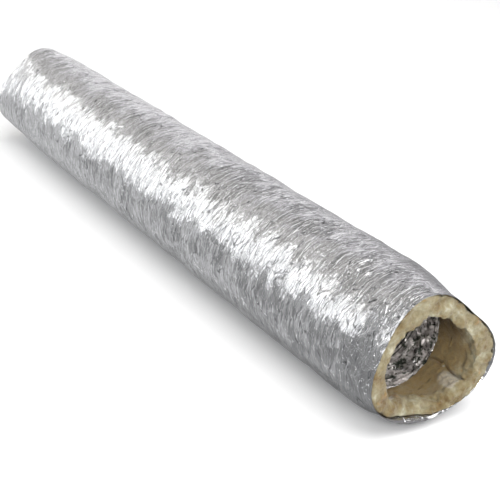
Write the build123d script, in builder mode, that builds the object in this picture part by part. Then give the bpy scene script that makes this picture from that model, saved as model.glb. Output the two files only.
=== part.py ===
from build123d import *
from math import asin, degrees, sin, sqrt
from typing import NamedTuple
import os

# Insulated flexible air duct: a foil core stiffened by a wire helix, wrapped in a glass-wool
# blanket inside a crinkled foil jacket, and cut square at both ends.
#
# The duct lies along X on the plane z = 0, with its middle at x = 0 and its near end at +X.
# It bends and shortens along its whole length, so every layer is made in stretches. Stretches
# that bend against each other meet on a ball round the bend, and stretches that slide meet on
# a plane across the duct.

# Core: two plies of foil laminate with a spring-wire helix between them
CORE_BORE = 127.0
FILM = 0.4
WIRE = 1.2
WIRE_PITCH = 48.0
WIRE_PHASE = 145.0
WIRE_SLIP = 0.1
CORE_LENGTH = 1080.0

# Sleeve: the wool blanket and the jacket, which stand past the core at both ends
WOOL_SLIP = 0.3
WOOL_THICKNESS = 25.1
JACKET_SLIP = 0.2
SLEEVE_OVERHANG = 60.0
SAG = 5.0

# Lengths that bend, shorten and slide, counted outwards from the middle
BEND_ZONE = 80.0
SHORTENING_ZONE = 130.0
SEAM_SETBACK = 20.0
CUFF_LENGTH = 82.0

# Ends of the stretches
BALL_MARGIN = 4.3
BALL_GAP = 0.5
SEAM_GAP = 0.4
ENVELOPE_MARGIN = 2.3
WIRE_END_GAP = 2.0

# Radii, from the bore outwards
inner_ply_radius = CORE_BORE / 2
wire_radius = inner_ply_radius + FILM + WIRE_SLIP + WIRE / 2
outer_ply_radius = wire_radius + WIRE / 2 + WIRE_SLIP
wool_radius = outer_ply_radius + FILM + WOOL_SLIP
wool_outer_radius = wool_radius + WOOL_THICKNESS
jacket_radius = wool_outer_radius + JACKET_SLIP + FILM
ball_radius = jacket_radius + BALL_MARGIN
envelope_radius = jacket_radius + ENVELOPE_MARGIN

# Stations along the duct, from the middle to the near end
inner_bend = BEND_ZONE / 2
sliding_seam = BEND_ZONE + SHORTENING_ZONE - SEAM_SETBACK
outer_bend = BEND_ZONE + SHORTENING_ZONE + BEND_ZONE / 2
lift = outer_bend + BEND_ZONE
core_end = CORE_LENGTH / 2
sleeve_end = core_end + SLEEVE_OVERHANG
cuff_seam = sleeve_end - CUFF_LENGTH

axis_height = jacket_radius - SAG
duct_axis = Axis((0, 0, axis_height), (1, 0, 0))


class End(NamedTuple):
    """Where a stretch ends: on a plane, or on a ball round a bend when it has a radius."""

    station: float
    ball: float = 0
    side: int = 1

    def at(self, radius):
        """Where the end passes a given distance from the duct's axis."""
        if not self.ball:
            return self.station
        return self.station + self.side * sqrt(self.ball**2 - radius**2)

    def corner(self, radius):
        return (self.at(radius), axis_height + radius)


def draw_end(end):
    """Draws an end in the plane of the duct's axis, from the axis to clear of the jacket."""
    if not end.ball:
        return Line(end.corner(0), end.corner(envelope_radius))
    half_way = end.ball * sin(asin(envelope_radius / end.ball) / 2)
    return ThreePointArc(end.corner(0), end.corner(half_way), end.corner(envelope_radius))


def draw_outline(radius, underside):
    """Draws a round section, flattened underneath where the duct's weight rests on it."""
    if underside is None:
        CenterArc((0, axis_height), radius, 0, 360)
        return
    half_width = sqrt(radius**2 - (axis_height - underside) ** 2)
    right, left = (half_width, underside), (-half_width, underside)
    ThreePointArc(right, (0, axis_height + radius), left)
    Line(left, right)


def make_layer(layer, stretch, low, high, outside, inside, mirrored):
    """One layer of one stretch; each face is a radius and the height of its underside."""
    first = min(low.at(0), low.at(envelope_radius))
    last = max(high.at(0), high.at(envelope_radius))
    with BuildPart() as tube:
        with BuildSketch(Plane.YZ.offset(first)):
            with BuildLine():
                draw_outline(*outside)
            make_face()
            with BuildLine():
                draw_outline(*inside)
            make_face(mode=Mode.SUBTRACT)
        extrude(amount=last - first)
        with BuildSketch(Plane.XZ):
            with BuildLine():
                low_edge = draw_end(low)
                high_edge = draw_end(high)
                Line(low_edge @ 0, high_edge @ 0)
                Line(low_edge @ 1, high_edge @ 1)
            make_face()
        revolve(axis=duct_axis, mode=Mode.INTERSECT)
        if mirrored:
            mirror(about=Plane.YZ, mode=Mode.REPLACE)
    tube.part.label = f"{layer}_{stretch}"
    export_step(tube.part, f"parts/{tube.part.label}.step")


def make_wire(stretch, low, high, mirrored):
    """The turns of the wire helix between two stations; its hand is the same all along."""
    if mirrored:
        low, high = -high, -low
    with BuildPart() as coil:
        with BuildLine() as path:
            Helix(WIRE_PITCH, high - low, wire_radius, direction=(1, 0, 0))
        with BuildSketch(Plane(origin=path.line @ 0, z_dir=path.line % 0)):
            Circle(WIRE / 2)
        sweep(is_frenet=True)
    with BuildPart() as wire:
        with Locations((low, 0, axis_height)):
            add(coil.part, rotation=(WIRE_PHASE + 360 * low / WIRE_PITCH, 0, 0))
    wire.part.label = f"helix_wire_{stretch}"
    export_step(wire.part, f"parts/{wire.part.label}.step")


def make_sleeve(stretch, low, high, mirrored=False):
    """The foil jacket and the glass wool inside it; both lie flat on the floor."""
    jacket_outside = (jacket_radius, 0)
    jacket_inside = (jacket_radius - FILM, FILM)
    wool_outside = (wool_outer_radius, FILM + JACKET_SLIP)
    wool_inside = (wool_radius, None)
    make_layer("outer_jacket", stretch, low, high, jacket_outside, jacket_inside, mirrored)
    make_layer("glass_wool", stretch, low, high, wool_outside, wool_inside, mirrored)


def make_core(stretch, low, high, mirrored=False):
    """The two plies of the core and the wire between them."""
    for layer, radius in (
        ("core_outer_ply", outer_ply_radius),
        ("core_inner_ply", inner_ply_radius),
    ):
        outside = (radius + FILM, None)
        inside = (radius, None)
        make_layer(layer, stretch, low, high, outside, inside, mirrored)
    first = low.at(wire_radius) + WIRE_END_GAP
    last = high.at(wire_radius) - WIRE_END_GAP
    make_wire(stretch, first, last, mirrored)


def make_half(half, mirrored):
    """The four stretches and the cuff between the middle stretch and one end of the duct."""
    socket_radius = ball_radius + BALL_GAP
    stretches = (
        (End(inner_bend, socket_radius), End(sliding_seam)),
        (End(sliding_seam + SEAM_GAP), End(outer_bend, ball_radius)),
        (End(outer_bend, socket_radius), End(lift, ball_radius)),
    )
    for number, (low, high) in enumerate(stretches, start=1):
        make_sleeve(f"{half}_{number}", low, high, mirrored)
        make_core(f"{half}_{number}", low, high, mirrored)
    last_low = End(lift, socket_radius)
    make_sleeve(f"{half}_4", last_low, End(cuff_seam), mirrored)
    make_core(f"{half}_4", last_low, End(core_end), mirrored)
    make_sleeve(f"{half}_cuff", End(cuff_seam + SEAM_GAP), End(sleeve_end), mirrored)


os.makedirs("parts", exist_ok=True)

middle_ends = End(-inner_bend, ball_radius, -1), End(inner_bend, ball_radius)
make_sleeve("middle", *middle_ends)
make_core("middle", *middle_ends)
make_half("near", mirrored=False)
make_half("far", mirrored=True)

free_angle = degrees(2 * asin(sqrt(ball_radius**2 - jacket_radius**2) / ball_radius))
print(f"outside diameter {2 * jacket_radius:.1f}, axis {axis_height:.1f} above the floor")
print(f"the balls stay inside their sockets up to a bend of about {free_angle:.0f} degrees")
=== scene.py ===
import math

import bmesh
import bpy
import numpy as np
from mathutils import Matrix, Vector


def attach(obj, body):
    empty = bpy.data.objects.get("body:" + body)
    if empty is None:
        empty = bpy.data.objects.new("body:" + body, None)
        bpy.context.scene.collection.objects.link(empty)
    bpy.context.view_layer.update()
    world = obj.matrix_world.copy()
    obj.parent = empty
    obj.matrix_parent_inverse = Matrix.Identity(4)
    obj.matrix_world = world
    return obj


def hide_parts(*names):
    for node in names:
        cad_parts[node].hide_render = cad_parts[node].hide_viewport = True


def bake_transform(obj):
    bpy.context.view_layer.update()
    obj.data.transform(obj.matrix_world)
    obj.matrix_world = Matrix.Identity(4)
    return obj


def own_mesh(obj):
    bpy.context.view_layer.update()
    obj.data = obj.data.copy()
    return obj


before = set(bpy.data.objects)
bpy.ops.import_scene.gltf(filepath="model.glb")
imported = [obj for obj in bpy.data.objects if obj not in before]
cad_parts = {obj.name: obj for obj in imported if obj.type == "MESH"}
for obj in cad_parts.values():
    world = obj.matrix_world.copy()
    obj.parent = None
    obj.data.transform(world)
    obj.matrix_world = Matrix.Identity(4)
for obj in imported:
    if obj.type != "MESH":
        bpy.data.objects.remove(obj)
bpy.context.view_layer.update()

# ---------------------------------------------------------------------------
# The duct's shape is worked out in millimetres on one surface, with x along the duct and the
# angle phi round it from +Y through the top, and is cut into a piece for each joint only when
# the meshes are made. So neighbouring pieces meet exactly.
# ---------------------------------------------------------------------------
MM = 0.001
AXIS_Z = 86.7
HALF_LENGTH = 600.0
CORE_HALF = 540.0
JACKET_R = 91.3
WOOL_OUT_R = 87.6
WOOL_IN_R = 66.9
CORE_R = 64.6
CORE_CLEAR_R = 67.4
WIRE_PITCH = 48.0
WIRE_PHASE = math.radians(145.0)
TURN = 2 * math.pi

# Where each joint's bend or slide happens, from the middle of the duct outwards
ZONES = (
    (0.0, 80.0, "1_bend"),
    (80.0, 210.0, "2_stretch"),
    (210.0, 290.0, "3_bend"),
    (290.0, 370.0, "4_lift"),
    (370.0, 600.0, "5_cuff"),
)
CUFF_ZONE = len(ZONES) - 1


def zone_bodies(half, number):
    """The two bodies that a zone of the near or far half lies between."""
    bodies = ["middle"] + [f"{half}_{i}" for i in (1, 2, 3, 4)] + [f"{half}_cuff"]
    return bodies[number], bodies[number + 1]


# ---------------------------------------------------------------------------
# Noise on a grid that closes on itself round the duct
# ---------------------------------------------------------------------------
TABLE = np.random.default_rng(20261).uniform(-1, 1, 1 << 16)
TABLE_MASK = (1 << 16) - 1
# Large odd numbers that scatter a grid point's indices and seed over the table
HASH_I, HASH_J, HASH_K, HASH_SEED = 7919, 104729, 50021, 15487
HASH_CROSS = 8191


def lattice(i, j, seed, count, twist=0):
    """A random value at a grid point; after count points the grid has moved along by twist."""
    turns = np.floor_divide(j, count)
    j = j - turns * count
    i = i - turns * twist
    key = i * HASH_I + j * HASH_J + seed * HASH_SEED + (i * j) % HASH_CROSS
    return TABLE[key & TABLE_MASK]


def cell_corners(i, j, seed, count, twist):
    """The random values at the four corners of a cell: low u and v, then high u, high v, both."""
    offsets = ((0, 0), (1, 0), (0, 1), (1, 1))
    return [lattice(i + di, j + dj, seed, count, twist) for di, dj in offsets]


def smooth(u, v, seed, count, twist=0):
    """Smooth noise, from -1 to 1."""
    i, j = np.floor(u).astype(np.int64), np.floor(v).astype(np.int64)
    a, b = u - i, v - j
    a, b = a * a * (3 - 2 * a), b * b * (3 - 2 * b)
    p00, p10, p01, p11 = cell_corners(i, j, seed, count, twist)
    low = p00 * (1 - a) + p10 * a
    high = p01 * (1 - a) + p11 * a
    return low * (1 - b) + high * b


def facets(u, v, seed, count, twist=0):
    """Flat triangles between random heights, as folded foil has, from -1 to 1."""
    i, j = np.floor(u).astype(np.int64), np.floor(v).astype(np.int64)
    a, b = u - i, v - j
    p00, p10, p01, p11 = cell_corners(i, j, seed, count, twist)
    rising = np.where(
        a > b,
        p00 + (p10 - p00) * a + (p11 - p10) * b,
        p00 + (p11 - p01) * a + (p01 - p00) * b,
    )
    falling = np.where(
        a + b < 1,
        p00 + (p10 - p00) * a + (p01 - p00) * b,
        p11 + (p01 - p11) * (1 - a) + (p10 - p11) * (1 - b),
    )
    return np.where(lattice(i, j, seed + 77, count, twist) > 0, rising, falling)


def step(low, high, x):
    """0 below low, 1 above high, smooth between."""
    t = np.clip((x - low) / (high - low), 0, 1)
    return t * t * (3 - 2 * t)


def solid_noise(x, y, z, seed):
    """Smooth noise in space, from -1 to 1, for points in units of its own cells."""
    i, j, k = (np.floor(q).astype(np.int64) for q in (x, y, z))
    a, b, c = x - i, y - j, z - k
    a, b, c = (t * t * (3 - 2 * t) for t in (a, b, c))
    total = 0.0
    for di, wa in ((0, 1 - a), (1, a)):
        for dj, wb in ((0, 1 - b), (1, b)):
            for dk, wc in ((0, 1 - c), (1, c)):
                key = (i + di) * HASH_I + (j + dj) * HASH_J + (k + dk) * HASH_K
                key = key + seed * HASH_SEED
                key = key ^ (key >> 7)
                total = total + TABLE[(key * 31) & TABLE_MASK] * wa * wb * wc
    return total


# ---------------------------------------------------------------------------
# The mouths: the cut isn't square, and the end is pinched out of round
# ---------------------------------------------------------------------------
def hump(phi, degrees, width):
    """A hump round the duct: 1 at an angle and fading over a width, both in degrees."""
    away = np.angle(np.exp(1j * (phi - math.radians(degrees))))
    return np.exp(-((away / math.radians(width)) ** 2))


# The mouth's outline: waves as height, number round the duct and phase; dents as depth, angle
# and width. Lengths are in mm and angles in degrees
MOUTH_MEAN_R = 83.0
MOUTH_WAVES = ((3.0, 1, -48), (1.6, 2, 13), (6.9, 3, 58), (1.9, 4, -14))
MOUTH_DENTS = ((4.5, -118, 28), (4.0, -106, 24))
# How far the cut leans along the duct for each mm across it and upwards, and its radius in mm
CUT_R = 85
CUT_LEAN_Y = 0.076
CUT_LEAN_Z = 0.024


def mouth_radius(phi):
    """The jacket's radius at the cut: three blunt corners with flatter sides between."""
    radius = MOUTH_MEAN_R
    for height, count, phase in MOUTH_WAVES:
        radius = radius + height * np.cos(count * phi + math.radians(phase))
    for depth, degrees, width in MOUTH_DENTS:
        radius = radius - depth * hump(phi, degrees, width)
    return radius


def mouth_reach(phi):
    """How far the cut stands past the duct's nominal end, in mm."""
    return CUT_LEAN_Y * CUT_R * np.cos(phi) - CUT_LEAN_Z * CUT_R * np.sin(phi)


def mouth_blend(x, phi):
    """How far the pinch has taken hold: it starts further back on the duct's +Y side."""
    start = 536.0 - 75.0 * hump(phi, -45, 45) - 55.0 * hump(phi, 45, 45)
    return step(start, 604.0, x) ** 1.3


FLOOR_ROUNDING = 1.2


def on_floor(z):
    """Keeps a height above the floor, rounding off where it comes down onto it."""
    return 0.5 * (z + np.sqrt(z * z + FLOOR_ROUNDING))


# Heights in mm of what covers the jacket, from broad bulges to small crumples
BULGE, SMALL_BULGE = 0.7, 0.5
PATCH, FOLD, FINE_FOLD, CRUMPLE = 1.1, 0.44, 0.17, 0.36
# The part of them that is taken away at the mouth
MOUTH_CALM = 0.45
# The foil tongue below the mouth: how far it flares, over what length, and its angle and width
TONGUE_FLARE, TONGUE_LENGTH = 6.0, 8
TONGUE = (-108, 24)


def both_ends(x, phi):
    """Side of the middle, distance from it, turns from the bottom, and phi seen from that end."""
    side = np.sign(x)
    turn = (phi + math.pi / 2) / TURN
    return side, np.abs(x), turn, np.where(side < 0, math.pi - phi, phi)


def jacket_radius(x, phi):
    """The jacket's outside radius, with its bulges, folds and crumples.

    The divisors of x are cell lengths in mm, and the factors of turn are cells round the duct.
    """
    side, run, turn, mirror = both_ends(x, phi)
    bulge = BULGE * smooth(x / 82 + 40, turn * 7, 1, 7)
    bulge = bulge + SMALL_BULGE * smooth(x / 38 + 40, turn * 13, 2, 13)

    warp_u = smooth(x / 33 + 40, turn * 16, 3, 16)
    warp_v = smooth(x / 33 + 40, turn * 16, 4, 16)
    patch = facets(x / 27 + 40 + 0.55 * warp_u, turn * 13 + 0.55 * warp_v, 5, 13)

    # wrinkles that run round the duct, leaning a little along it
    bend_u = smooth(x / 46 + 40, turn * 9, 6, 9)
    fold = facets(
        x / 5.4 + 400 + 14 * turn + 2.2 * bend_u,
        turn * 10 + 0.8 * smooth(x / 7 + 90, turn * 12, 7, 12),
        8, 10, 14,
    )
    fine_fold = facets(
        x / 3.3 + 400 - 9 * turn + 1.6 * bend_u,
        turn * 23 + 0.5 * warp_v,
        9, 23, -9,
    )
    where_folded = 0.55 + 0.45 * smooth(x / 60 + 40, turn * 8, 10, 8)

    crumple = facets(x / 9 + 70 + 0.6 * warp_v, turn * 52 + 0.6 * warp_u, 11, 52)
    where_crumpled = 0.5 + 0.5 * smooth(x / 45 + 40, turn * 10, 12, 10)

    height = (
        bulge
        + PATCH * patch
        + FOLD * where_folded * fold
        + FINE_FOLD * where_folded * fine_fold
        + CRUMPLE * where_crumpled * crumple
    )
    height = height * (1 - MOUTH_CALM * step(580.0, 600.0, run))
    near_mouth = mouth_blend(run, mirror)
    return JACKET_R * (1 - near_mouth) + mouth_radius(mirror) * near_mouth + height


def jacket_shape(x, phi):
    """The jacket's outside at station x and angle phi: the mesh's x, y and z in mm."""
    side, run, turn, mirror = both_ends(x, phi)
    past_root = np.clip((run - (HALF_LENGTH - TONGUE_LENGTH)) / TONGUE_LENGTH, 0, 1)
    flare = TONGUE_FLARE * past_root * hump(mirror, *TONGUE)
    radius = jacket_radius(x, phi) + flare
    ragged = 0.45 * smooth(turn * 90, turn * 0 + side * 3, 13, 8)
    ragged = ragged + 0.25 * smooth(turn * 260, turn * 0, 14, 8)
    past_end = mouth_reach(mirror) + ragged - 1.7 * hump(mirror, -50, 28)
    reach = step(560.0, 600.0, run) * past_end
    return x + side * reach, radius * np.cos(phi), on_floor(AXIS_Z + radius * np.sin(phi))


# ---------------------------------------------------------------------------
# Meshes
# ---------------------------------------------------------------------------
def new_mesh(name, points, quads, uv, normals=None, end_count=0):
    """A mesh object from points in mm and four-cornered faces.

    An open tube's ends are capped when the number of vertices round it is given.
    """
    mesh = bpy.data.meshes.new(name)
    mesh.vertices.add(len(points))
    mesh.vertices.foreach_set("co", (np.asarray(points) * MM).astype(np.float32).ravel())
    mesh.loops.add(quads.size)
    mesh.loops.foreach_set("vertex_index", quads.astype(np.int32).ravel())
    mesh.polygons.add(len(quads))
    mesh.polygons.foreach_set("loop_start", np.arange(0, quads.size, 4, dtype=np.int32))
    layer = mesh.uv_layers.new(name="wrap")
    layer.data.foreach_set("uv", uv.astype(np.float32).ravel())
    mesh.update(calc_edges=True)
    mesh.validate()
    if end_count:
        work = bmesh.new()
        work.from_mesh(mesh)
        work.verts.ensure_lookup_table()
        work.faces.new(work.verts[:end_count][::-1])
        work.faces.new(work.verts[-end_count:])
        work.to_mesh(mesh)
        work.free()
    mesh.polygons.foreach_set("use_smooth", np.full(len(mesh.polygons), True))
    if normals is not None:
        mesh.normals_split_custom_set_from_vertices(normals)
    obj = bpy.data.objects.new(name, mesh)
    bpy.context.scene.collection.objects.link(obj)
    return obj


def strip_quads(first, second, count):
    """Faces between two rings of vertices, given as the rings' first indices."""
    j = np.arange(count)
    k = (j + 1) % count
    return np.stack([first + j, first + k, second + k, second + j], axis=1)


def tube_quads(rings, count, closed=False):
    """Faces of a tube of rings of count vertices; a closed one goes back to its first ring."""
    return np.concatenate([
        strip_quads(i * count, (i + 1) % rings * count, count)
        for i in range(rings if closed else rings - 1)
    ])


def grid_normals(grid):
    """Outward normals of a grid of points that is closed in its second direction."""
    along = np.gradient(grid, axis=0)
    across = np.roll(grid, -1, axis=1) - np.roll(grid, 1, axis=1)
    n = np.cross(across, along)
    return n / np.linalg.norm(n, axis=2, keepdims=True)


def closed_shell(name, rows, uv_rows, normals=None):
    """A closed mesh from rings of points: rows go out along one face and back along the other."""
    rings, count = rows.shape[:2]
    quads = tube_quads(rings, count, closed=True)
    u = np.repeat(uv_rows, count)
    v = np.tile(np.arange(count) / count, rings)
    uv = np.stack([u[quads], v[quads]], axis=2)
    at_start = quads % count == 0
    last = (quads % count == count - 1).any(axis=1)
    uv[..., 1] = np.where(at_start & last[:, None], 1.0, uv[..., 1])
    return new_mesh(name, rows.reshape(-1, 3), quads, uv, normals)


# The jacket's grid: mm between stations, points round it, how many stations the plainer inside
# skips, and the film's thickness
JACKET_STEP = 1.0
JACKET_AROUND = 360
JACKET_INSIDE_EVERY = 8
FILM = 0.5

stations = np.arange(-HALF_LENGTH, HALF_LENGTH + JACKET_STEP / 2, JACKET_STEP)
angles = -math.pi / 2 + np.arange(JACKET_AROUND) * TURN / JACKET_AROUND
X, PHI = np.meshgrid(stations, angles, indexing="ij")
jacket_grid = np.stack(jacket_shape(X, PHI), axis=2)
jacket_normal = grid_normals(jacket_grid)


# ---------------------------------------------------------------------------
# Materials
# ---------------------------------------------------------------------------
def material(name):
    """A new material, its nodes and its shader."""
    m = bpy.data.materials.new(name)
    m.use_nodes = True
    return m, m.node_tree, m.node_tree.nodes["Principled BSDF"]


def node(tree, kind, **inputs):
    """A new node, with its inputs or its settings given by name."""
    n = tree.nodes.new(kind)
    for key, value in inputs.items():
        if key in n.inputs:
            n.inputs[key].default_value = value
        else:
            setattr(n, key, value)
    return n


def connect(tree, n, values):
    """Gives a node's first inputs values or other nodes' outputs; None leaves an input alone."""
    for i, value in enumerate(values):
        if hasattr(value, "links"):
            tree.links.new(value, n.inputs[i])
        elif value is not None:
            n.inputs[i].default_value = value


def math_node(tree, operation, *values):
    n = node(tree, "ShaderNodeMath", operation=operation)
    connect(tree, n, values)
    return n.outputs[0]


def vector_node(tree, operation, *values):
    n = node(tree, "ShaderNodeVectorMath", operation=operation)
    connect(tree, n, values)
    return n.outputs["Value" if operation in ("DOT_PRODUCT", "LENGTH") else "Vector"]


def noise_node(
    tree, vector, scale, detail=2.0, roughness=0.5, output="Fac", distortion=0.0, **extra
):
    n = node(
        tree, "ShaderNodeTexNoise",
        Scale=scale, Detail=detail, Roughness=roughness, Distortion=distortion, **extra,
    )
    tree.links.new(vector, n.inputs["Vector"])
    return n.outputs[output]


def ramp_node(tree, value, low, high, most=1.0, least=0.0):
    """A smooth ramp from least, where the value is low, to most, where it is high."""
    n = node(tree, "ShaderNodeMapRange", interpolation_type="SMOOTHSTEP")
    limits = {"From Min": low, "From Max": high, "To Min": least, "To Max": most}
    for socket, limit in limits.items():
        n.inputs[socket].default_value = limit
    tree.links.new(value, n.inputs["Value"])
    return n.outputs["Result"]


def tint_node(tree, factor, under, colour):
    """Lays a colour over another node's colour."""
    n = node(tree, "ShaderNodeMix", data_type="RGBA")
    tree.links.new(factor, n.inputs["Factor"])
    tree.links.new(under, n.inputs["A"])
    n.inputs["B"].default_value = (*colour, 1)
    return n.outputs["Result"]


def tone_node(tree, fac, stops):
    """A colour from a list of positions and colours."""
    n = tree.nodes.new("ShaderNodeValToRGB")
    elements = n.color_ramp.elements
    for element, (position, colour) in zip(elements, (stops[0], stops[-1])):
        element.position = position
        element.color = (*colour, 1)
    for position, colour in stops[1:-1]:
        elements.new(position).color = (*colour, 1)
    tree.links.new(fac, n.inputs["Fac"])
    return n.outputs["Color"]


def add_bump(tree, shader, height, distance, strength=1.0):
    """Bends a shader's normal by a height; distance is in metres for a height of 1."""
    bump = node(tree, "ShaderNodeBump", Strength=strength, Distance=distance)
    tree.links.new(height, bump.inputs["Height"])
    tree.links.new(bump.outputs[0], shader.inputs["Normal"])


def wrap_axes(tree):
    """Metres along the duct and turns round it from the bottom."""
    uv = node(tree, "ShaderNodeUVMap", uv_map="wrap")
    split = node(tree, "ShaderNodeSeparateXYZ")
    tree.links.new(uv.outputs[0], split.inputs[0])
    return split.outputs["X"], split.outputs["Y"]


def unrolled(tree, circumference):
    """Coordinates in mm along the duct and round it."""
    uv = node(tree, "ShaderNodeUVMap", uv_map="wrap")
    return vector_node(tree, "MULTIPLY", uv.outputs[0], (1 / MM, circumference, 0.0))


def wandering(tree, place, scale, reach):
    """A place moved about by noise, over a reach in mm."""
    wander = noise_node(tree, place, scale, 3.0, 0.6, "Color")
    wander = vector_node(tree, "SUBTRACT", wander, (0.5, 0.5, 0.5))
    return vector_node(tree, "ADD", place, vector_node(tree, "MULTIPLY", wander, reach))


def cell_node(tree, vector, cell, seed, **extra):
    """Random cells of a size in mm, and the place in units of cells."""
    scaled = vector_node(tree, "MULTIPLY", vector, (1 / cell[0], 1 / cell[1], 0.0))
    scaled = vector_node(tree, "ADD", scaled, (seed * 17.3, seed * 9.1, 0.0))
    cells = node(tree, "ShaderNodeTexVoronoi", voronoi_dimensions="2D", Scale=1.0, **extra)
    tree.links.new(scaled, cells.inputs["Vector"])
    return cells, scaled


def facet_height(tree, vector, sets):
    """Height in mm of sets of flat facets, each facet tilted its own way."""
    height = 0.0
    for cell, depth, seed in sets:
        cells, scaled = cell_node(tree, vector, cell, seed)
        offset = vector_node(tree, "SUBTRACT", scaled, cells.outputs["Position"])
        tilt = vector_node(tree, "SUBTRACT", cells.outputs["Color"], (0.5, 0.5, 0.5))
        tilted = vector_node(tree, "DOT_PRODUCT", offset, tilt)
        height = math_node(tree, "MULTIPLY_ADD", tilted, depth, height)
    return height


def wrinkles(tree, vector, cell, width, seed):
    """Height of a surface with a thin groove along the edges of its cells, from 0 to 1."""
    cells, _ = cell_node(tree, vector, cell, seed, feature="DISTANCE_TO_EDGE")
    return ramp_node(tree, cells.outputs["Distance"], 0.0, width)


# Lengths round the jacket and the core in mm, by which their surfaces are unrolled
JACKET_GIRTH, CORE_GIRTH = 575.0, 400.0
# Cell size along and round the duct in mm, then depth in mm and seed
FOIL_FACETS = (
    ((34.0, 36.0), 6.0, 4),
    ((13.0, 17.0), 2.6, 1),
    ((4.8, 26.0), 1.05, 2),
    ((2.4, 9.0), 0.42, 3),
)
CORE_FACETS = (((8.0, 9.0), 10.0, 5), ((3.4, 4.2), 3.8, 6), ((1.5, 1.9), 0.5, 7))
# The same, with the groove's width as a part of the cell before the seed
FOIL_WRINKLES = (
    ((6.5, 46.0), 0.34, 0.06, 8),
    ((3.1, 19.0), 0.05, 0.06, 9),
)
FOIL_CREASE = 0.15
FOIL_TONES = ((0.25, (0.50, 0.50, 0.51)), (0.5, (0.58, 0.58, 0.585)), (0.8, (0.64, 0.635, 0.63)))
# Painted shade that darkens the foil in its sharpest grooves
GROOVE_PAINTED_SHADE = (0.10, 0.10, 0.105)
# Painted shade for the dark lines beside the wire's rib
RIB_PAINTED_SHADE = (0.03, 0.035, 0.025)
# The core's tones go from its darkest patches to its brightest facets; on the inner ply they are
# painted reflections of the dark bore up to painted highlights
CORE_TONE_STOPS = (0.42, 0.50, 0.56, 0.68)
INSIDE_PAINTED_REFLECTIONS = ((0.05, 0.06, 0.045), (0.22, 0.235, 0.20), (0.66, 0.62, 0.59), (0.97, 0.90, 0.88))
OUTSIDE_TONES = (
    (0.46, 0.455, 0.45), (0.54, 0.535, 0.53), (0.62, 0.615, 0.61), (0.70, 0.69, 0.685),
)
WOOL_TONES = (
    (0.30, (0.15, 0.092, 0.036)),
    (0.41, (0.225, 0.17, 0.083)),
    (0.52, (0.285, 0.24, 0.138)),
    (0.62, (0.385, 0.35, 0.235)),
    (0.74, (0.66, 0.63, 0.51)),
)
WOOL_STAIN = (0.40, 0.225, 0.08)
# Painted shade for the wool's wall down the bore
WOOL_WALL_SHADE = (0.31, 0.21, 0.083)
# Painted shadow on the wall under the top of the bore
WOOL_TOP_SHADE = (0.055, 0.03, 0.01)
WOOL_PALE = (0.66, 0.62, 0.55)


def foil_material():
    """The jacket's foil: facets, thin grooves with painted shade, and streaks that run round the
    duct.
    """
    m, tree, shader = material("jacket_foil")
    shader.inputs["Metallic"].default_value = 1.0
    place = wandering(tree, unrolled(tree, JACKET_GIRTH), 0.05, (11.0, 16.0, 0.0))
    height = facet_height(tree, place, FOIL_FACETS)
    grooves = []
    for cell, depth, width, seed in FOIL_WRINKLES:
        grooves.append(wrinkles(tree, place, cell, width, seed))
        height = math_node(tree, "MULTIPLY_ADD", grooves[-1], depth, height)
    stretched = vector_node(tree, "MULTIPLY", place, (1 / 5.0, 1 / 42.0, 0.0))
    crease = noise_node(tree, stretched, 1.0, 3.0, 0.6, noise_type="RIDGED_MULTIFRACTAL")
    height = math_node(tree, "MULTIPLY_ADD", crease, FOIL_CREASE, height)
    add_bump(tree, shader, height, MM)
    dull = noise_node(tree, place, 0.09, 4.0, 0.6)
    dull = math_node(tree, "MULTIPLY_ADD", dull, 0.20, 0.07)
    tree.links.new(dull, shader.inputs["Roughness"])
    streaks = vector_node(tree, "MULTIPLY", place, (1 / 2.6, 1 / 26.0, 0.0))
    tone = tone_node(tree, noise_node(tree, streaks, 1.0, 3.0, 0.65), FOIL_TONES)
    # painted shade in the sharpest grooves, but not everywhere
    sharp = ramp_node(tree, noise_node(tree, place, 0.06, 3.0, 0.6), 0.42, 0.62, 0.8)
    in_groove = math_node(tree, "SUBTRACT", 1.0, grooves[0])
    colour = tint_node(tree, math_node(tree, "MULTIPLY", in_groove, sharp), tone, GROOVE_PAINTED_SHADE)
    tree.links.new(colour, shader.inputs["Base Color"])
    return m


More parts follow.
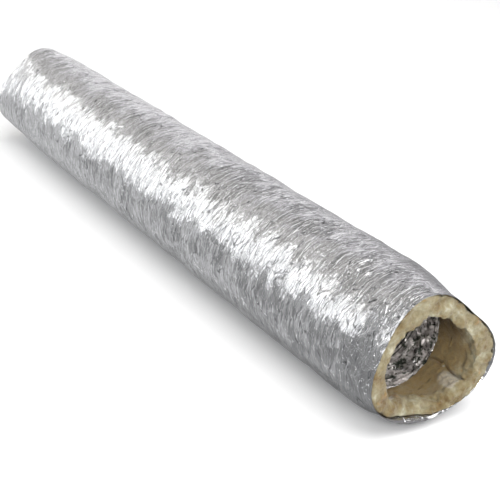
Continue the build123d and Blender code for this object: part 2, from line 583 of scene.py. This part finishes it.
def core_material(name, metallic, tones):
    """The core's crumpled foil, with a line of painted shade along each side of the spring wire's
    rib.
    """
    m, tree, shader = material(name)
    shader.inputs["Metallic"].default_value = metallic
    place = unrolled(tree, CORE_GIRTH)
    rumpled = wandering(tree, place, 0.16, (5.0, 5.0, 0.0))
    add_bump(tree, shader, facet_height(tree, rumpled, CORE_FACETS), MM)
    dull = math_node(tree, "MULTIPLY_ADD", noise_node(tree, place, 0.2, 3.0), 0.22, 0.12)
    tree.links.new(dull, shader.inputs["Roughness"])
    # each little facet has its own tone, on patches that are lighter or darker; on the inner ply
    # these are painted highlights and painted reflections
    cells = node(tree, "ShaderNodeTexVoronoi", voronoi_dimensions="2D", Scale=0.42)
    tree.links.new(rumpled, cells.inputs["Vector"])
    own = node(tree, "ShaderNodeSeparateXYZ")
    tree.links.new(cells.outputs["Color"], own.inputs[0])
    fac = noise_node(tree, rumpled, 0.085, 4.0, 0.62, distortion=0.8)
    fac = math_node(tree, "MULTIPLY_ADD", own.outputs["X"], 0.16, fac)
    tone = tone_node(tree, fac, list(zip(CORE_TONE_STOPS, tones)))
    # painted shade: a dark line along each side of the wire's rib
    # 99.5 keeps the count of turns above zero, and starts it at the top instead of the bottom
    along, turn = wrap_axes(tree)
    turns = math_node(tree, "MULTIPLY_ADD", along, -1 / MM / WIRE_PITCH, turn)
    turns = math_node(tree, "ADD", turns, 99.5 - WIRE_PHASE / TURN)
    away = math_node(tree, "MULTIPLY", math_node(tree, "PINGPONG", turns, 0.5), WIRE_PITCH)
    line = math_node(tree, "ABSOLUTE", math_node(tree, "SUBTRACT", away, 2.5))
    shade = ramp_node(tree, line, 1.3, 0.5, 0.85)
    # no painted shade line close to the cut end
    off_rim = ramp_node(tree, math_node(tree, "ABSOLUTE", along), 0.528, 0.514)
    colour = tint_node(tree, math_node(tree, "MULTIPLY", shade, off_rim), tone, RIB_PAINTED_SHADE)
    tree.links.new(colour, shader.inputs["Base Color"])
    return m


def wire_material():
    """Plain spring steel with a slight unevenness."""
    m, tree, shader = material("spring_wire")
    shader.inputs["Metallic"].default_value = 1.0
    shader.inputs["Base Color"].default_value = (0.55, 0.53, 0.50, 1)
    shader.inputs["Roughness"].default_value = 0.35
    noise = node(tree, "ShaderNodeTexNoise", Scale=900.0)
    add_bump(tree, shader, noise.outputs["Fac"], 0.0001, 0.15)
    return m


def wool_material():
    """Glass wool: mottled and torn on the face, smoother down the inner wall, where painted shade
    makes it darker and browner.

    The places along the duct are wrap coordinates, which are 0.600 to 0.620 on the face and
    from 0.631 on down the wall.
    """
    m, tree, shader = material("glass_wool")
    place = node(tree, "ShaderNodeTexCoord").outputs["Object"]
    colour = tone_node(tree, noise_node(tree, place, 48.0, 5.0, 0.62), WOOL_TONES)
    stain = noise_node(tree, place, 75.0, 3.0, 0.55, distortion=0.6)
    colour = tint_node(tree, ramp_node(tree, stain, 0.60, 0.72, 0.55), colour, WOOL_STAIN)
    along, turn = wrap_axes(tree)
    along = math_node(tree, "ABSOLUTE", along)
    # painted shade: the wall grows darker and browner down the bore
    colour = tint_node(tree, ramp_node(tree, along, 0.632, 0.652, 0.75), colour, WOOL_WALL_SHADE)
    # painted shade: under the top of the duct, deep in the bore, the wall is darker still
    from_top = math_node(tree, "ABSOLUTE", math_node(tree, "SUBTRACT", turn, 0.5))
    above = ramp_node(tree, from_top, 0.33, 0.17, 0.92)
    deep = ramp_node(tree, along, 0.640, 0.676)
    colour = tint_node(tree, math_node(tree, "MULTIPLY", above, deep), colour, WOOL_TOP_SHADE)
    # a pale fluffy patch beside the blanket's butt seam
    squares = []
    for axis, middle, scale in ((from_top, 0.376, 26.0), (along, 0.643, 46.0)):
        offset = math_node(tree, "MULTIPLY", math_node(tree, "SUBTRACT", axis, middle), scale)
        squares.append(math_node(tree, "POWER", math_node(tree, "ABSOLUTE", offset), 2.0))
    spread = math_node(tree, "ADD", *squares)
    spread = math_node(tree, "ADD", spread, noise_node(tree, place, 160.0, 3.0, 0.6))
    colour = tint_node(tree, ramp_node(tree, spread, 1.35, 0.70, 0.42), colour, WOOL_PALE)
    tree.links.new(colour, shader.inputs["Base Color"])
    shader.inputs["Roughness"].default_value = 0.95
    shader.inputs["Specular IOR Level"].default_value = 0.1
    shader.inputs["Subsurface Weight"].default_value = 0.2
    shader.inputs["Subsurface Radius"].default_value = (0.005, 0.0035, 0.002)
    shader.inputs["Subsurface Scale"].default_value = 1.0
    shader.inputs["Sheen Weight"].default_value = 0.2
    fibres = noise_node(tree, place, 380.0, 6.0, 0.7, distortion=1.2)
    tufts = noise_node(tree, place, 120.0, 3.0, 0.5)
    add_bump(tree, shader, math_node(tree, "MULTIPLY_ADD", tufts, 2.0, fibres), 0.0018)
    return m


# ---------------------------------------------------------------------------
# Pieces
# ---------------------------------------------------------------------------
def add_piece(obj, layer, half, number, surface):
    """Gives a piece its material, its joint and the CAD nodes that it stands for."""
    obj.data.materials.append(surface)
    body_a, body_b = zone_bodies(half, number)
    nodes = [f"{layer}_{body_a}"]
    sleeve = layer in ("outer_jacket", "glass_wool")
    if number == CUFF_ZONE and not sleeve:
        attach(obj, body_a)
    else:
        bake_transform(obj)
        if number == CUFF_ZONE:
            nodes.append(f"{layer}_{body_b}")
    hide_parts(*nodes)


def both_halves():
    """Every zone of both halves: half, side, number, name and the zone's x range in mm."""
    for half, side in (("near", 1), ("far", -1)):
        for number, (low, high, zone_name) in enumerate(ZONES):
            yield half, side, number, zone_name, *sorted((side * low, side * high))


def jacket_pieces():
    """Each zone's stretch of the jacket, from one grid, with a plainer inside."""
    for half, side, number, zone_name, low, high in both_halves():
        first = int(round((low + HALF_LENGTH) / JACKET_STEP))
        last = int(round((high + HALF_LENGTH) / JACKET_STEP))
        out = jacket_grid[first:last + 1]
        nrm = jacket_normal[first:last + 1]
        rows_in = list(range(len(out) - 1, -1, -JACKET_INSIDE_EVERY))
        if rows_in[-1] != 0:
            rows_in.append(0)
        inside = (out - nrm * FILM)[rows_in]
        rows = np.concatenate([out, inside])
        along = stations[first:last + 1]
        uv_rows = np.concatenate([along, along[rows_in]]) * MM
        normals = np.concatenate([nrm, np.zeros_like(inside)]).reshape(-1, 3)
        obj = closed_shell(f"jacket_{half}_{zone_name}", rows, uv_rows, normals)
        add_piece(obj, "outer_jacket", half, number, jacket_foil)


def ring_grid(along, count):
    """Stations by angles, for a surface made of rings."""
    turns = -math.pi / 2 + np.arange(count) * TURN / count
    return np.meshgrid(np.asarray(along, float), turns, indexing="ij")


def polar(x, phi, radius, floor_gap):
    """Points at a radius round the axis, kept above the floor by a gap."""
    z = floor_gap + on_floor(AXIS_Z + radius * np.sin(phi) - floor_gap)
    return np.stack([x + 0 * phi, radius * np.cos(phi), z], axis=2)


# Away from the ends the wool is hidden, so it is plain: mm between stations, points round it and
# its height over the floor
PLAIN_WOOL_STEP = 8
PLAIN_WOOL_AROUND = 96
PLAIN_WOOL_GAP = 2.6


def wool_pieces():
    """Each zone's stretch of the blanket; the last one at each end is torn and shaped."""
    for half, side, number, zone_name, low, high in both_halves():
        if number < CUFF_ZONE:
            along = np.linspace(low, high, int((high - low) / PLAIN_WOOL_STEP) + 1)
            x, phi = ring_grid(along, PLAIN_WOOL_AROUND)
            out = polar(x, phi, WOOL_OUT_R, PLAIN_WOOL_GAP)
            inside = polar(x, phi, WOOL_IN_R, PLAIN_WOOL_GAP)[::-1]
            rows = np.concatenate([out, inside])
            uv_rows = np.concatenate([along, along[::-1]]) * MM
        else:
            rows, uv_rows = wool_end(side)
        obj = closed_shell(f"wool_{half}_{zone_name}", rows, uv_rows)
        add_piece(obj, "glass_wool", half, number, glass_wool)


WOOL_AROUND = 408
END_WOOL_GAP = 1.6
FACE_ROWS = 24
# The lip: its sectors, outside radius, and where down the wall it ends, with rows of points
LIP_SECTORS = 12
LIP_OUT_R = 71.0
LIP_END = 557
LIP_FACE_ROWS, LIP_WALL_ROWS, LIP_BACK_ROWS = 18, 34, 8
BORE_R = 62.4
# Humps of the bore's edge as height in mm, angle and width in degrees
BORE_HUMPS = (
    (-6.5, -104, 36), (-4.0, 120, 17), (3.0, 96, 8), (-8.5, 60, 26), (-4.0, 20, 16), (2.5, -20, 14),
)
# Lumps of the torn wool as height in mm, cell in mm and seed
WOOL_LUMPS = ((3.6, 13.0, 31), (2.5, 6.5, 32), (1.0, 3.0, 33), (0.5, 1.6, 34))
SEAM_ANGLE = -37.0
SEAM_R = 65
# The outside and the wall reach this x before the torn face takes over
END_ROW = 594
CUFF_START = ZONES[CUFF_ZONE][0]
# Wrap coordinates in mm: the face goes on from FACE_START for a length that differs between tube
# and lip, and the wall has WALL_FOLD less its x
FACE_START = 600
TUBE_FACE, LIP_FACE = 12, 25
WALL_FOLD = 1225


def wool_outline(side, phi, mirror):
    """At each angle, the x of the torn face and the radii of its outer and inner edges."""
    top_left = 0.5 + 0.5 * np.cos(mirror - math.radians(140))
    face = HALF_LENGTH + mouth_reach(mirror) - 0.6 - 1.0 * (1 - top_left)
    face = face - 6.5 * hump(mirror, *TONGUE) + 1.8 * hump(mirror, -66, 22)
    lip_r = jacket_radius(side * (HALF_LENGTH - 3 + 0 * phi), phi) - 1.1
    bore_r = BORE_R - 1.5 * np.cos(mirror - math.radians(160))
    for height, degrees, width in BORE_HUMPS:
        bore_r = bore_r + height * hump(mirror, degrees, width)
    return face, lip_r, bore_r


def wool_push(x, r, phi, mirror, free, walls, wall_x):
    """How far the wool stands out of its plain section in mm: lumps, fluff and the butt seam."""
    y, z = r * np.cos(phi), r * np.sin(phi)

    def lump(cell, seed):
        return solid_noise(x / cell, y / cell, z / cell, seed)

    lumps = sum(height * lump(cell, seed) for height, cell, seed in WOOL_LUMPS)
    lumps = lumps - 1.6 * np.abs(lump(8.0, 35)) - 3.5 * hump(mirror, 126, 3.5)
    lumps = lumps - 2.0 * hump(mirror, 66, 3.0)
    fluffy = step(562.0, 568.0, wall_x) * step(597.0, 590.0, wall_x)
    fluff = hump(mirror, -45, 8) * walls * fluffy
    calm = 1 - 0.62 * hump(mirror, 172, 46)
    push = free * lumps * calm + fluff * (1.5 + 1.6 * lump(2.6, 36))
    # the butt seam of the blanket runs along the inside, in a groove between two soft edges
    seam = np.angle(np.exp(1j * (mirror - math.radians(SEAM_ANGLE))))
    from_seam = seam * SEAM_R + 1.6 * np.sin(x / 9.0)
    push = push - walls * 5.0 * np.exp(-((from_seam / 1.7) ** 2))
    edges = np.exp(-(((np.abs(from_seam) - 9) / 6.5) ** 2))
    return push + walls * 2.4 * edges * step(540.0, 556.0, wall_x)


def wool_profile(side, lip):
    """The blanket's end as x and r on a grid of rows across it by angles round it.

    Without lip it is the tube, with its torn face and a bore that the core fits in. With lip it
    is the narrower ring of wool inside the mouth, from the face to where the bore is full width.
    Each part of the section has its x and r, and how freely its surface is lumpy.
    """
    phi = (-math.pi / 2 + np.arange(WOOL_AROUND) * TURN / WOOL_AROUND)[None, :]
    mirror = phi if side > 0 else math.pi - phi
    face, lip_r, bore_r = wool_outline(side, phi, mirror)

    def face_x(radius):
        """The torn face's x at a radius, and how freely it is lumpy there."""
        across = np.clip((lip_r - radius) / (lip_r - bore_r), 0, 1)
        crown = 2.2 * np.abs(np.sin(across * math.pi)) ** 0.5
        x = face - 1.3 + crown - 15.0 * hump(mirror, -100, 45) * across ** 1.7
        return x, step(-0.3, 0.22, across)

    bore_x, _ = face_x(bore_r)

    def wall(inner, narrowest):
        """The bore's wall, which widens from the bore's edge to fit round the core."""
        depth = step(-2.0, 36.0, END_ROW - inner)
        x = inner + step(560.0, END_ROW, inner) * (bore_x - HALF_LENGTH + 2.0)
        r = np.maximum(bore_r * (1 - depth) + (WOOL_IN_R + 0.9) * depth, narrowest)
        return x, r, 0.18 + 0.82 * step(574.0, 592.0, inner) + 0 * phi

    if lip:
        out_r = np.minimum(LIP_OUT_R, lip_r - 1.2)
        across = np.linspace(0, 1, LIP_FACE_ROWS)[:, None]
        r_face = out_r * (1 - across) + bore_r * across
        x_face, free_face = face_x(r_face)
        x_face = x_face - 0.6 * np.maximum(r_face - CORE_CLEAR_R, 0)
        inner = np.linspace(END_ROW, LIP_END, LIP_WALL_ROWS)[:, None]
        x_in, r_in, free_in = wall(inner, 0)
        back = np.linspace(0.1, 0.9, LIP_BACK_ROWS)[:, None]
        x_out = x_in[-1:] * (1 - back) + x_face[:1] * back
        parts = [
            (x_face, r_face, free_face),
            (x_in, r_in, free_in),
            (x_out, out_r + 0 * x_out, 0 * x_out),
        ]
        uv_face = FACE_START + LIP_FACE * (LIP_OUT_R - r_face.mean(axis=1)) / 17
        uv = [uv_face, WALL_FOLD - inner[:, 0], FACE_START + LIP_FACE + 0 * back[:, 0]]
        face_part, wall_part = 0, 1
    else:
        outside = [np.linspace(CUFF_START, 560, 20), np.linspace(562, END_ROW, 17)]
        outside = np.concatenate(outside)[:, None]
        r_out = jacket_radius(side * outside, phi) - 2.2 + 0.9 * step(565.0, END_ROW, outside)
        x_out = outside + step(540.0, 600.0, outside) * (face - HALF_LENGTH)
        across = np.append(np.linspace(0, 1, FACE_ROWS)[1:], 1.0)[:, None]
        clear_r = np.minimum(np.maximum(bore_r, CORE_CLEAR_R), lip_r - 0.8)
        r_face = lip_r * (1 - across) + clear_r * across
        x_face, free_face = face_x(r_face)
        x_face[-1] -= 0.3
        inner = [np.linspace(END_ROW, 520, 62), np.linspace(516, CUFF_START, 25)]
        inner = np.concatenate(inner)[:, None]
        x_in, r_in, free_in = wall(inner, CORE_CLEAR_R)
        r_in = np.minimum(r_in, np.where(inner > 590, clear_r, 99.0))
        free_out = step(588.0, 600.0, outside) * 0.3 + 0 * phi
        parts = [
            (x_out, r_out + 0 * phi, free_out),
            (x_face, r_face, free_face),
            (x_in, r_in, free_in),
        ]
        uv = [outside[:, 0], FACE_START + TUBE_FACE * across[:, 0], WALL_FOLD - inner[:, 0]]
        face_part, wall_part = 1, 2

    x, r, free = (np.concatenate([part[i] for part in parts]) for i in range(3))

    def per_part(chosen, value):
        """A value on one part of the section and 0 on the others."""
        return np.concatenate(
            [0 * part[0] + (value if k == chosen else 0) for k, part in enumerate(parts)]
        )

    faces = per_part(face_part, 1)
    walls = per_part(wall_part, 1)
    wall_x = per_part(wall_part, inner)
    # the way out of the wool, from the path round the section
    dx, dr = np.gradient(x, axis=0), np.gradient(r, axis=0)
    size = np.sqrt(dx * dx + dr * dr) + 1e-6
    nx, nr = -dr / size, dx / size
    # where the tube and the lip meet on the face, both swell the same way
    shared = faces * step(63.0, 67.0, r) * (1 - step(70.0, 74.0, r))
    nx, nr = nx * (1 - shared) + shared, nr * (1 - shared)
    push = wool_push(x, r, phi, mirror, free, walls, wall_x)
    x = x + nx * push
    r = r + nr * push
    if lip:
        r = np.where(walls > 0, np.minimum(r, out_r - 0.3), r)
    else:
        r = np.maximum(r, np.minimum(CORE_CLEAR_R - 0.4, lip_r - 1.0))
    return polar(side * x, phi, r, END_WOOL_GAP), np.concatenate(uv) * MM, phi[0], lip_r[0]


def wool_end(side):
    """The blanket's end, as rows for a closed shell."""
    rows, uv_rows, _, _ = wool_profile(side, False)
    if side < 0:
        rows = rows[::-1]
        uv_rows = uv_rows[::-1]
    return rows, uv_rows


def wool_lips():
    """The narrow lip inside each mouth, in sectors that all hang on the cuff's body."""
    for half, side in (("near", 1), ("far", -1)):
        rows, uv_rows, phi, lip_r = wool_profile(side, True)
        across = np.roll(rows, -1, axis=1) - np.roll(rows, 1, axis=1)
        along = np.roll(rows, -1, axis=0) - np.roll(rows, 1, axis=0)
        normals = side * np.cross(across, along)
        normals /= np.linalg.norm(normals, axis=2, keepdims=True) + 1e-9
        count = len(rows)
        each = WOOL_AROUND // LIP_SECTORS
        for sector in range(LIP_SECTORS):
            columns = np.arange(sector * each, (sector + 1) * each + 1)
            v = columns / WOOL_AROUND
            columns = columns % WOOL_AROUND
            if side > 0:
                columns, v = columns[::-1], v[::-1]
            points = rows[:, columns].transpose(1, 0, 2).reshape(-1, 3)
            outward = normals[:, columns].transpose(1, 0, 2).reshape(-1, 3)
            quads = tube_quads(each + 1, count)
            uv = np.stack([uv_rows[quads % count], v[quads // count]], axis=2)
            name = f"wool_lip_{half}_{sector + 1:02d}"
            obj = new_mesh(name, points, quads, uv, outward, count)
            obj.data.materials.append(glass_wool)
            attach(obj, f"{half}_cuff")
            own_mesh(obj)


def from_wire(x, phi):
    """Distance along the duct from the nearest turn of the wire, in mm."""
    turns = (phi - math.pi / 2 - WIRE_PHASE) / TURN - x / WIRE_PITCH
    return (turns - np.round(turns)) * WIRE_PITCH


def core_middle(x, phi):
    """The radius half-way through the core's two plies, crumpled between the turns of wire."""
    turn = (phi + math.pi / 2) / TURN
    d = from_wire(x, phi)
    loose = 1 - np.exp(-((d / 5.0) ** 2))
    warp_u = smooth(x / 15 + 80, turn * 24, 41, 24)
    warp_v = smooth(x / 15 + 80, turn * 24, 42, 24)
    big = facets(x / 12 + 80 + 0.6 * warp_u, turn * 30 + 0.6 * warp_v, 43, 30)
    small = facets(x / 5.5 + 200 + 0.6 * warp_v, turn * 62 + 0.6 * warp_u, 44, 62)
    tiny = facets(x / 2.8 + 400, turn * 130 + 0.4 * warp_u, 45, 130)
    rumple = 0.62 * big + 0.30 * small + 0.11 * tiny
    edge = step(506.0, 541.0, np.abs(x))
    pinch = edge * (2.3 + 0.8 * np.cos(2 * phi + 0.7))
    return CORE_R + loose * rumple - 0.35 * loose - pinch


# A ply's thickness, and how far the wire pushes each ply out into a rib, in mm
CORE_SKIN = 0.22
RIB_INSIDE, RIB_OUTSIDE = 2.2, 0.7


def core_rows(x, phi, side, offset):
    """One face of a ply, at an offset in mm: side is +1 for the outer ply and -1 for the inner."""
    turn = (phi + math.pi / 2) / TURN
    d = from_wire(x, phi)
    rib = (RIB_INSIDE if side < 0 else RIB_OUTSIDE) * np.exp(-((d / 1.6) ** 2))
    radius = core_middle(x, phi) + side * (0.06 + rib) + offset
    if side < 0:
        loose = 1 - np.exp(-((d / 7.0) ** 2))
        dents = facets(x / 6.5 + 300 + 0.3 * turn, turn * 58, 48, 58)
        dents = dents + 0.45 * facets(x / 3.1 + 600, turn * 120, 49, 120)
        radius = radius - loose * (0.25 + 1.05 * dents)
    ragged = 0.8 * smooth(turn * 60, turn * 0, 46, 8) + 0.5 * smooth(turn * 170, turn * 0, 47, 8)
    x_cut = x + np.sign(x) * step(530.0, 540.0, np.abs(x)) * ragged
    return np.stack([x_cut, radius * np.cos(phi), AXIS_Z + radius * np.sin(phi)], axis=2)


def core_pieces():
    """Each zone's stretch of the core's inner and outer ply."""
    for ply, side_out, surface in (("inner", -1, core_inside), ("outer", 1, core_outside)):
        for half, side, number, zone_name, low, high in both_halves():
            low, high = max(low, -CORE_HALF), min(high, CORE_HALF)
            spacing, count = (1.25, 288) if number == CUFF_ZONE else (2.5, 180)
            along = np.linspace(low, high, int(round((high - low) / spacing)) + 1)
            x, phi = ring_grid(along, count)
            outer = core_rows(x, phi, side_out, CORE_SKIN * max(side_out, 0))
            inner = core_rows(x, phi, side_out, CORE_SKIN * min(side_out, 0))
            rows = np.concatenate([outer, inner[::-1]])
            uv_rows = np.concatenate([along, along[::-1]]) * MM
            obj = closed_shell(f"core_{ply}_{half}_{zone_name}", rows, uv_rows)
            add_piece(obj, f"core_{ply}_ply", half, number, surface)


# The wire's radius in mm, sides, steps to a turn, and how far it stops from the core's end
WIRE_R = 0.6
WIRE_SIDES = 8
WIRE_STEPS = 72
WIRE_SHORT = 2


def wire_pieces():
    """Each zone's stretch of the helix, as a thin tube between the plies."""
    for half, side, number, zone_name, low, high in both_halves():
        low, high = max(low, WIRE_SHORT - CORE_HALF), min(high, CORE_HALF - WIRE_SHORT)
        along = np.linspace(low, high, int((high - low) / WIRE_PITCH * WIRE_STEPS) + 1)
        phi = math.pi / 2 + WIRE_PHASE + TURN * along / WIRE_PITCH
        radius = core_middle(along, np.mod(phi + math.pi / 2, TURN) - math.pi / 2)
        centre = np.stack([along, radius * np.cos(phi), AXIS_Z + radius * np.sin(phi)], axis=1)
        out = np.stack([0 * along, np.cos(phi), np.sin(phi)], axis=1)
        forward = np.gradient(centre, axis=0)
        forward /= np.linalg.norm(forward, axis=1, keepdims=True)
        cross = np.cross(forward, out)
        corners = np.arange(WIRE_SIDES) * TURN / WIRE_SIDES
        spokes = [math.cos(t) * out + math.sin(t) * cross for t in corners]
        rows = np.stack([centre + WIRE_R * spoke for spoke in spokes], axis=1)
        quads = tube_quads(len(rows), WIRE_SIDES)
        points = rows.reshape(-1, 3)
        turned = (quads % WIRE_SIDES) / WIRE_SIDES
        uv = np.stack([np.repeat(along, WIRE_SIDES)[quads] * MM, turned], axis=2)
        obj = new_mesh(f"wire_{half}_{zone_name}", points, quads, uv, end_count=WIRE_SIDES)
        add_piece(obj, "helix_wire", half, number, spring_wire)


jacket_foil = foil_material()
core_inside = core_material("core_foil_inside", 0.42, INSIDE_PAINTED_REFLECTIONS)
core_outside = core_material("core_foil_outside", 1.0, OUTSIDE_TONES)
glass_wool = wool_material()
spring_wire = wire_material()

jacket_pieces()
wool_pieces()
wool_lips()
core_pieces()
wire_pieces()

# ---------------------------------------------------------------------------
# Stage
# ---------------------------------------------------------------------------
FLOOR_HALF = 12.0
WALL_R = 11.5
WALL_SIDES = 48
WALL_BOTTOM, WALL_TOP = -0.1, 9.0


def stage_mesh(name, points, faces, brightness):
    """A white mesh of the stage, with its material's nodes and shader."""
    mesh = bpy.data.meshes.new(name)
    mesh.from_pydata(points, [], faces)
    obj = bpy.data.objects.new(name, mesh)
    bpy.context.scene.collection.objects.link(obj)
    m, tree, shader = material(f"{name}_white")
    shader.inputs["Base Color"].default_value = (brightness, brightness, brightness, 1)
    shader.inputs["Emission Color"].default_value = (1, 1, 1, 1)
    mesh.materials.append(m)
    obj.visible_glossy = False
    return obj, tree, shader


def stage():
    s = FLOOR_HALF
    corners = [(-s, -s, 0), (s, -s, 0), (s, s, 0), (-s, s, 0)]
    floor, tree, shader = stage_mesh("floor", corners, [(0, 1, 2, 3)], 0.92)
    shader.inputs["Roughness"].default_value = 0.9
    # far from the duct, where the lights fade, the floor glows to stay pale
    place = node(tree, "ShaderNodeTexCoord").outputs["Object"]
    glow = ramp_node(tree, vector_node(tree, "LENGTH", place), 1.4, 5.0, 0.8)
    tree.links.new(glow, shader.inputs["Emission Strength"])


def backdrop():
    """A pale wall round the floor that only the camera sees."""
    turns = [t * TURN / WALL_SIDES for t in range(WALL_SIDES)]
    ring = [(WALL_R * math.cos(turn), WALL_R * math.sin(turn)) for turn in turns]
    points = [(x, y, z) for z in (WALL_BOTTOM, WALL_TOP) for x, y in ring]
    pairs = [(t, (t + 1) % WALL_SIDES) for t in range(WALL_SIDES)]
    faces = [(t, after, WALL_SIDES + after, WALL_SIDES + t) for t, after in pairs]
    wall, _, shader = stage_mesh("backdrop", points, faces, 0.9)
    shader.inputs["Emission Strength"].default_value = 0.75
    wall.visible_diffuse = False
    wall.visible_shadow = False


def area_light(name, place, aim, size, power, colour=(1, 1, 1)):
    """A rectangular light that faces aim, with its first side along the duct."""
    light = bpy.data.lights.new(name, "AREA")
    light.shape = "RECTANGLE"
    light.size, light.size_y = size
    light.energy = power
    light.color = colour
    obj = bpy.data.objects.new(name, light)
    bpy.context.scene.collection.objects.link(obj)
    obj.location = place
    obj.rotation_mode = "QUATERNION"
    away = (Vector(place) - Vector(aim)).normalized()
    along = (Vector((1, 0, 0)) - away * away.x).normalized()
    obj.rotation_quaternion = Matrix((along, away.cross(along), away)).transposed().to_quaternion()
    return obj


# Brightness of the surroundings by the angle round the duct's axis, from +Y through overhead
SURROUND = (
    (-180, 0.43), (-154, 0.38), (-122, 0.49), (-104, 0.48), (-86, 0.40), (-70, 0.24),
    (-52, 0.20), (-34, 0.50), (0, 0.56), (30, 0.50), (50, 0.38), (66, 0.34),
    (90, 0.46), (120, 0.58), (150, 0.58), (180, 0.43),
)


COOL_GREY, MAUVE_GREY, WARM_GREY = (0.975, 0.985, 1.0), (0.985, 0.97, 1.0), (1.0, 0.985, 0.96)


def studio_world():
    """Plain grey surroundings, brighter towards the duct's far end."""
    world = bpy.data.worlds.new("studio")
    bpy.context.scene.world = world
    world.use_nodes = True
    tree = world.node_tree
    place = node(tree, "ShaderNodeTexCoord")
    split = node(tree, "ShaderNodeSeparateXYZ")
    tree.links.new(place.outputs["Generated"], split.inputs[0])
    angle = math_node(tree, "ARCTAN2", split.outputs["Z"], split.outputs["Y"])
    angle = math_node(tree, "MULTIPLY_ADD", angle, 1 / TURN, 0.5)
    stops = []
    for degrees, level in SURROUND:
        if degrees < -50 or degrees > 140:
            tint = COOL_GREY
        elif degrees < 60:
            tint = MAUVE_GREY
        else:
            tint = WARM_GREY
        stops.append(((degrees + 180) / 360, tuple(level * c for c in tint)))
    background = tree.nodes["Background"]
    tree.links.new(tone_node(tree, angle, stops), background.inputs["Color"])
    strength = ramp_node(tree, split.outputs["X"], -0.55, -0.95, 2.0, 0.80)
    tree.links.new(strength, background.inputs["Strength"])


stage()
backdrop()
studio_world()

camera = bpy.data.objects.new("camera", bpy.data.cameras.new("camera"))
bpy.context.scene.collection.objects.link(camera)
camera.data.lens = 75.6
camera.data.sensor_width = 36
camera_azimuth, camera_elevation = math.radians(58.389), math.radians(26.106)
back = Vector((
    math.sin(camera_azimuth) * math.cos(camera_elevation),
    -math.cos(camera_azimuth) * math.cos(camera_elevation),
    math.sin(camera_elevation),
))
camera.location = (1.3631, -0.7158, 0.7361)
camera.rotation_mode = "QUATERNION"
camera.rotation_quaternion = (-back).to_track_quat("-Z", "Y")
camera.data.clip_end = 100
bpy.context.scene.camera = camera
bpy.context.scene.view_settings.view_transform = "Standard"


def long_softbox(name, angle, distance, low_x, high_x, height, radiance, colour=(1, 1, 1)):
    """A softbox that runs along the duct, at an angle round it from +Y through the top."""
    t = math.radians(angle)
    y, z = distance * math.cos(t), AXIS_Z * MM + distance * math.sin(t)
    x = (low_x + high_x) / 2
    power = radiance * math.pi * (high_x - low_x) * height
    return area_light(name, (x, y, z), (x, 0, AXIS_Z * MM), (high_x - low_x, height), power, colour)


# The key light is a row of panels along the duct, towards its far end. Past each limit of x the
# next height and radiance holds
KEY_ANGLE = 150.0
KEY_DISTANCE = 1.5
KEY_PANELS = 9
KEY_START, KEY_SPACING, KEY_LENGTH = -0.14, 0.5, 0.36
KEY_LIMITS = (-1.4, -2.1)
KEY_LEVELS = ((1.0, 1.5), (1.9, 1.55), (2.1, 2.5))
KEY_COLOUR = (0.97, 0.985, 1.0)
for number in range(KEY_PANELS):
    right = KEY_START - KEY_SPACING * number
    height, radiance = KEY_LEVELS[sum(right < limit for limit in KEY_LIMITS)]
    long_softbox(
        f"key_{number + 1}", KEY_ANGLE - number, KEY_DISTANCE,
        right - KEY_LENGTH, right, height, radiance, KEY_COLOUR,
    )
long_softbox("back", 16.0, 1.5, -4.6, -0.1, 0.10, 2.0, (0.98, 0.97, 1.0))
area_light("overhead", (1.3, 0.45, 3.2), (0.0, 0.0, 0), (3.6, 3.6), 135)
area_light("front", (2.3, -0.9, 1.4), (0.6, 0, 0.08), (0.9, 0.8), 28)
